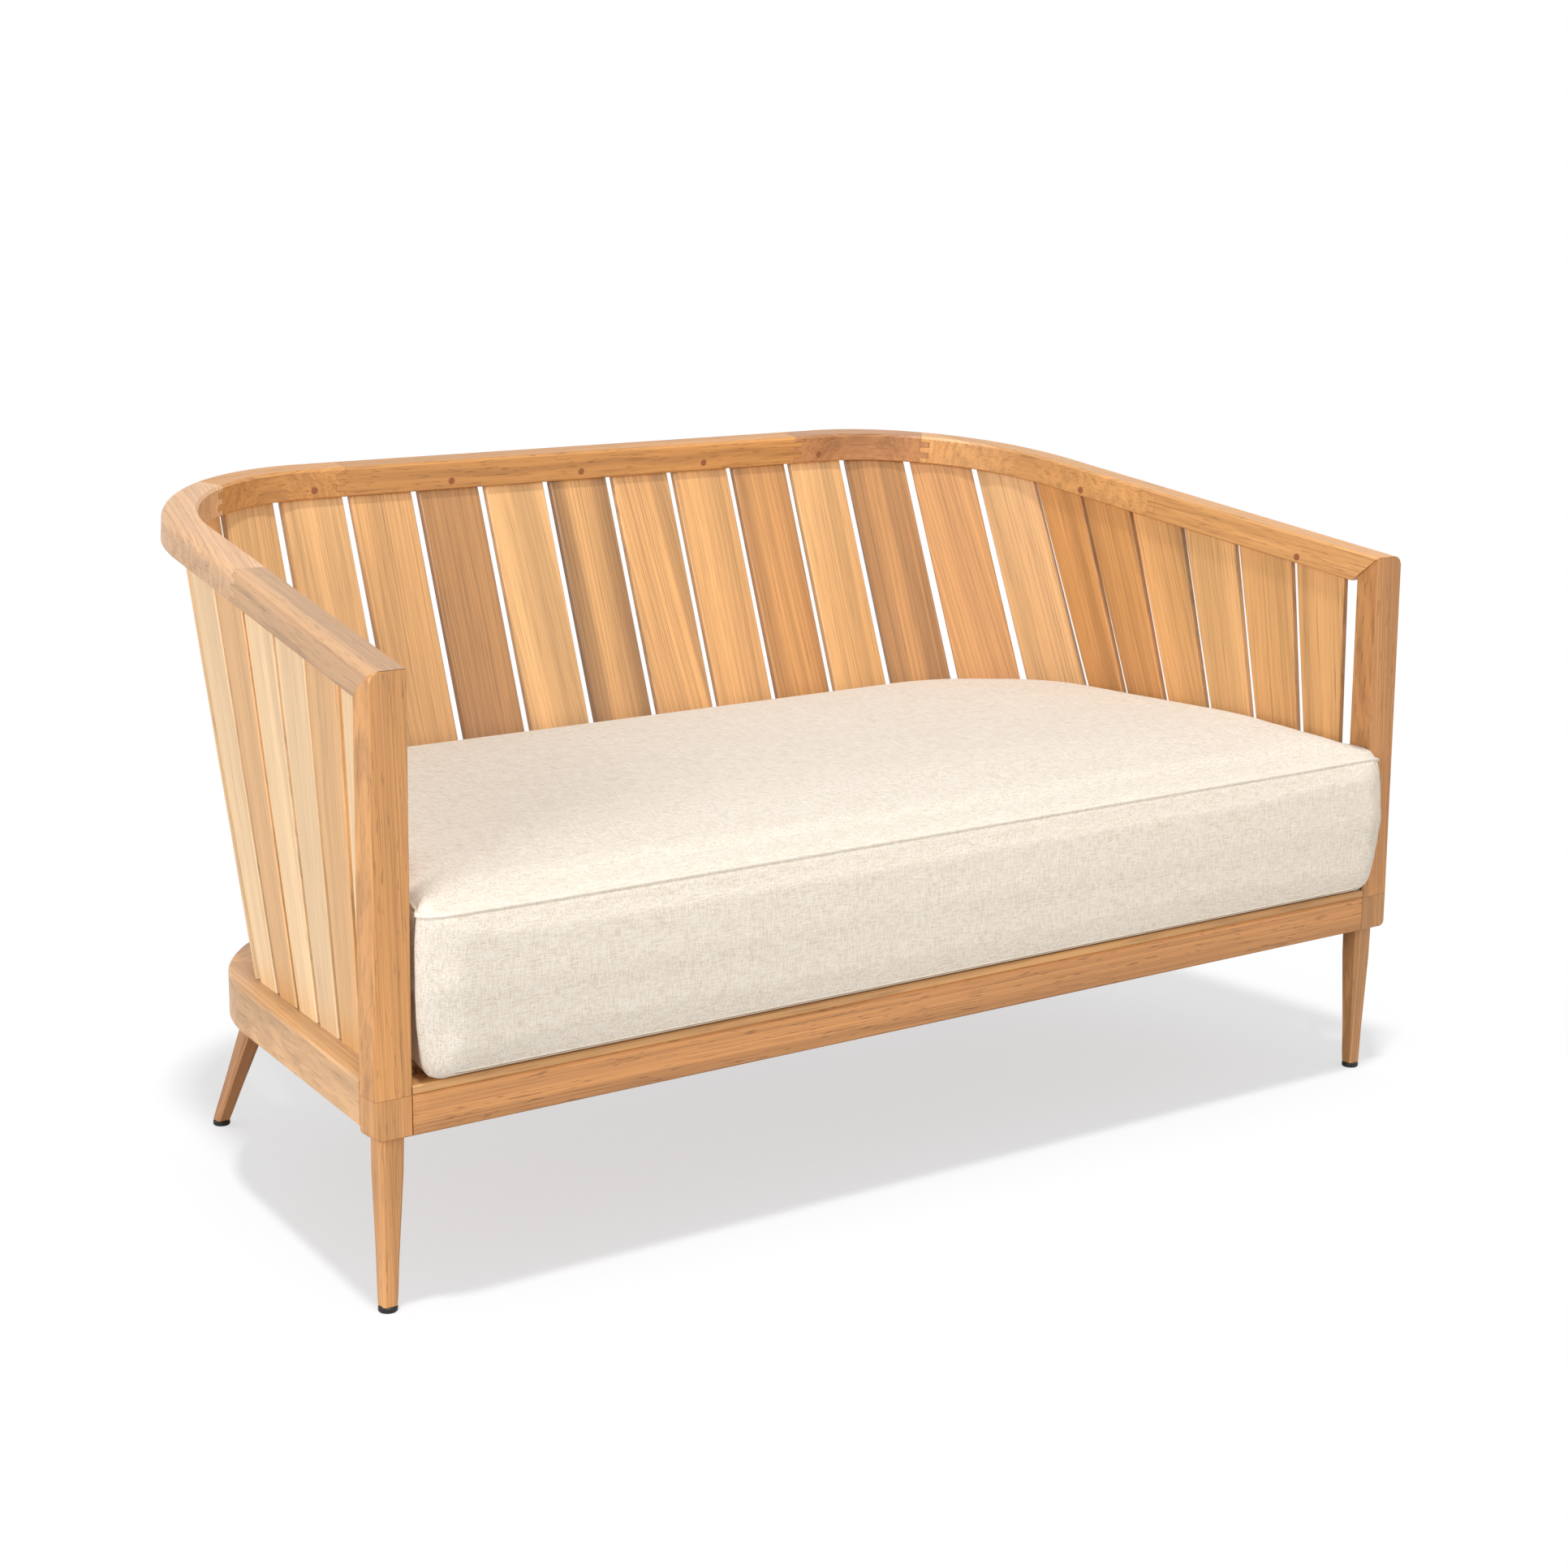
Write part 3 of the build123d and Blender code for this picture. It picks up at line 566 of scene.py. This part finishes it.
# %% A smooth step, and a place on one of the two ends
def ease(value, low, high):
    t = min(max((value - low) / (high - low), 0.0), 1.0)
    return t * t * (3 - 2 * t)


def along_end(end, share):
    for (s0, x0, y0), (s1, x1, y1) in zip(end, end[1:]):
        if share <= s1:
            t = (share - s0) / (s1 - s0)
            return x0 + (x1 - x0) * t, y0 + (y1 - y0) * t
    return end[-1][1:]


# %% Where a point of the plain form goes
def seated(point):
    x, y, z = point
    up = min(max((z - BOTTOM) / HEIGHT, 0.0), 1.0)
    # The top panel rises behind the front seam, and the part in front of the deck sags
    z += LIFT * ease(y, LIFT_FROM, LIFT_TO) * ease(up, TOP_FROM, 1.0)
    z += (SIDE_LIFT * ease(abs(x), SIDE_LIFT_FROM, SIDE_LIFT_TO)
          * ease(y, SIDE_LIFT_FRONT, SIDE_LIFT_BACK) * ease(up, RIM_FROM, 1.0))
    low_part = 1 - ease(up, 0.0, LOW_TO)
    z -= SAG * ease(-y, SAG_FROM, SAG_TO) * low_part
    z -= OVERHANG * ease(-y, OVERHANG_FROM, OVERHANG_TO) * low_part
    # The front swells forward, and near the bottom it hangs as far out as half way up
    bulge = (BULGE + BULGE_MIDDLE * math.sin(math.pi * up)
             + BULGE_LOW * (1 - ease(up, 0.0, HANG_TO)))
    # Each end swells sideways in front of its post, and is tucked in at the bottom. Half way up
    # the plain form is widest, so a little is taken off there
    wide = (TUCK + (1 - TUCK) * math.sin(math.pi / 2 * min(up / FULL_FROM, 1.0))
            - TOP_LOSS * ease(up, RIM_FROM, 1.0))
    wide -= STRIP_LOSS * math.exp(-((up - STRIP_AT) / STRIP_SPREAD) ** 2)
    end = RIGHT_END if x > 0 else LEFT_END
    away = abs(x)
    if y < ARC_START and away > CORNER:
        share = math.atan2(ARC_START - y, away - CORNER) / (math.pi / 2)
        angle = share * math.pi / 2
        end_x, end_y = along_end(end, share)
        away += (end_x - CORNER - (SIDE - CORNER) * math.cos(angle)) * wide
        z -= CORNER_DROP * ease(away, DROP_FROM, DROP_TO) * ease(up, RIM_FROM, 1.0)
        y += (end_y - ARC_START - (FRONT - ARC_START) * math.sin(angle)) * max(wide, bulge)
    else:
        pull = ease(away, PULL_FROM, CORNER) * ease(-y, PULL_BACK, -FRONT)
        away += (end[-1][1] - CORNER) * pull * wide
        y -= SWELL * ease(-y, SWELL_FROM, SWELL_TO) * bulge
    return Vector((math.copysign(away, x), y, z))


# %% [markdown]
# ## Seams
# The panels meet the boxing in a sewn seam that stands out as a narrow ridge with a fine shadow
# under it. A level cut through the plain form gives the line of each seam, and the line is
# thickened into a round welt in a lighter copy of the cloth, a painted highlight on the ridge,
# with a thin dark tube just below it that is painted shade for the fine shadow.

# %% The line of a seam, cut out of the plain form at one level
def seam_line(name, level):
    ring = cushion.copy()
    ring.data = cushion.data.copy()
    ring.name = name
    bpy.context.collection.objects.link(ring)
    active(ring)
    bpy.ops.object.mode_set(mode="EDIT")
    bpy.ops.mesh.select_all(action="SELECT")
    bpy.ops.mesh.bisect(plane_co=(0, 0, level), plane_no=(0, 0, 1), clear_inner=True,
                        clear_outer=True)
    bpy.ops.mesh.select_all(action="SELECT")
    bpy.ops.mesh.remove_doubles(threshold=0.003)
    bpy.ops.mesh.vertices_smooth(factor=0.5, repeat=6)
    bpy.ops.object.mode_set(mode="OBJECT")
    for vertex in ring.data.vertices:
        vertex.co = seated(vertex.co)
    return ring


# %% A round welt, or a thin dark tube of painted shade, along that line
def thicken(ring, name, radius, drop, material):
    line = ring.copy()
    line.data = ring.data.copy()
    line.name = name
    bpy.context.collection.objects.link(line)
    for vertex in line.data.vertices:
        vertex.co.z -= drop
    active(line)
    bpy.ops.object.convert(target="CURVE")
    line = bpy.context.object
    line.data.bevel_depth = radius
    line.data.bevel_resolution = 3
    bpy.ops.object.convert(target="MESH")
    line.data.materials.clear()
    line.data.materials.append(material)
    bpy.ops.object.shade_smooth()
    print(name, "vertices:", len(line.data.vertices))
    return line


# %% Make the ridge of both seams and the painted shade under it
# Name, height above the floor and radius of the ridge of each seam, in metres
SEAMS = (("top", 0.4065, 0.0024), ("low", 0.2555, 0.0010))
# Radius of the thin dark tube of painted shade under each ridge, and its gap below the ridge, in
# metres
SEAM_SHADE_RADIUS, SEAM_SHADE_GAP = 0.0008, 0.0002
trims = []
for name, level, radius in SEAMS:
    ring = seam_line("line of the " + name + " seam", level)
    trims.append(thicken(ring, f"cushion_{name}_welt", radius, 0.0, seam_highlight_cloth))
    trims.append(thicken(ring, f"cushion_{name}_thread", SEAM_SHADE_RADIUS, radius + SEAM_SHADE_GAP,
                         seam_shade))
    bpy.data.objects.remove(ring, do_unlink=True)

# %% Seat the cushion
for vertex in cushion.data.vertices:
    vertex.co = seated(vertex.co)
active(cushion)
settle(cushion)
cushion.data.materials.clear()
cushion.data.materials.append(cloth)
bpy.ops.object.shade_smooth()
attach(cushion, "cushion")
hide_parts("seat_cushion")
for piece in trims:
    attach(piece, "cushion")
print("cushion pieces:", cushion.name, [piece.name for piece in trims])

# %% [markdown]
# ## Floor, light and camera
# The photo is a cut-out on white with a soft grey shadow on the floor.
# The floor is a white sheet that fades out just past the shadow, where the white world shows.
# To the camera the sheet glows by itself, which keeps its shadow as pale as a cut-out's.
# A broad key light stands on the left, a weak warm one in front on the right, and the dome fills
# the rest. These two lamps are flagged off the floor, so that only the one high overhead draws a
# shadow there. It stands a little to the front and the left, which moves the shadow back and to
# the right as in the photo.

# %% Floor
FLOOR_SIZE = 14.0
FADE_START, FADE_END = 0.85, 1.2
GLOW_SHARE, GLOW = 0.5, 1.23
bpy.ops.mesh.primitive_plane_add(size=FLOOR_SIZE, location=(0, 0, 0))
floor = bpy.context.object
floor.name = "floor"
sheet, tree, out = new_material("White paper floor")
place = add(tree, "ShaderNodeTexCoord")
reach = add(tree, "ShaderNodeVectorMath", None, {0: place.outputs["Object"]},
            operation="LENGTH")
fade = add(tree, "ShaderNodeMapRange", {"From Min": FADE_START, "From Max": FADE_END},
           {"Value": reach.outputs["Value"]})
rays = add(tree, "ShaderNodeLightPath")
seen = add(tree, "ShaderNodeMath", {1: GLOW_SHARE}, {0: rays.outputs["Is Camera Ray"]},
           operation="MULTIPLY")
paper = add(tree, "ShaderNodeBsdfDiffuse", {"Color": (0.99, 0.99, 1.0, 1.0)})
glow = add(tree, "ShaderNodeEmission", {"Color": (0.955, 0.98, 1.0, 1.0), "Strength": GLOW})
pale = add(tree, "ShaderNodeMixShader", None,
           {0: seen.outputs[0], 1: paper.outputs[0], 2: glow.outputs[0]})
clear = add(tree, "ShaderNodeBsdfTransparent")
mixed = add(tree, "ShaderNodeMixShader", None,
            {0: fade.outputs[0], 1: pale.outputs[0], 2: clear.outputs[0]})
tree.links.new(mixed.outputs[0], out.inputs[0])
floor.data.materials.append(sheet)
print("floor fades out from", FADE_START, "to", FADE_END, "m")

# %% World: white to the camera and in reflections, a soft dome as light
DOME = 0.39
world = bpy.data.worlds.new("Studio")
bpy.context.scene.world = world
world.use_nodes = True
tree = world.node_tree
tree.nodes.clear()
out = tree.nodes.new("ShaderNodeOutputWorld")
rays = add(tree, "ShaderNodeLightPath")
dome = add(tree, "ShaderNodeBackground", {"Color": (1.0, 0.99, 0.98, 1.0), "Strength": DOME})
white = add(tree, "ShaderNodeBackground", {"Color": (1.0, 1.0, 1.0, 1.0), "Strength": 1.0})
seen = add(tree, "ShaderNodeMath", None,
           {0: rays.outputs["Is Camera Ray"], 1: rays.outputs["Is Transmission Ray"]},
           operation="MAXIMUM")
seen = add(tree, "ShaderNodeMath", None,
           {0: seen.outputs[0], 1: rays.outputs["Is Glossy Ray"]}, operation="MAXIMUM")
mixed = add(tree, "ShaderNodeMixShader", None,
            {0: seen.outputs[0], 1: dome.outputs[0], 2: white.outputs[0]})
tree.links.new(mixed.outputs[0], out.inputs[0])
print("dome strength:", DOME)


# %% Lamps
def lamp(name, place, target, size, energy, colour=(1.0, 1.0, 1.0)):
    data = bpy.data.lights.new(name, "AREA")
    data.shape = "SQUARE"
    data.size = size
    data.energy = energy
    data.color = colour
    obj = bpy.data.objects.new(name, data)
    bpy.context.collection.objects.link(obj)
    obj.location = place
    obj.rotation_euler = (Vector(target) - Vector(place)).to_track_quat("-Z", "Y").to_euler()
    return obj


AIM = (0, 0, 0.4)
key = lamp("key", (-4.6, -1.8, 2.0), AIM, 2.4, 155)
top = lamp("top", (-1.7, -2.2, 12.0), AIM, 1.0, 730, (0.99, 0.99, 1.0))
front = lamp("front", (1.4, -4.6, 1.6), AIM, 2.4, 84, (1.0, 0.92, 0.82))
print("lamps:", key.name, top.name, front.name)

# %% Flags keep the two low lamps off the floor
shaded = bpy.data.collections.new("off the floor")
shaded.objects.link(floor)
shaded.collection_objects[0].light_linking.link_state = "EXCLUDE"
for low_lamp in (key, front):
    low_lamp.light_linking.receiver_collection = shaded

# %% Camera, solved from straight edges in the photo
CAMERA_PLACE = (-1.932, -2.7029, 1.123)
CAMERA_DOWN, CAMERA_TURN = 12.16, -34.23
data = bpy.data.cameras.new("Camera")
camera = bpy.data.objects.new("Camera", data)
bpy.context.collection.objects.link(camera)
bpy.context.scene.camera = camera
data.sensor_width = 36.0
data.lens = 64.64
data.shift_x = 0.0688
data.shift_y = -0.0119
data.clip_end = 50.0
camera.location = CAMERA_PLACE
camera.rotation_euler = (math.radians(90 - CAMERA_DOWN), 0.0, math.radians(CAMERA_TURN))
bpy.context.scene.view_settings.view_transform = "Standard"
print("camera at", CAMERA_PLACE, "looks down by", CAMERA_DOWN, "degrees")
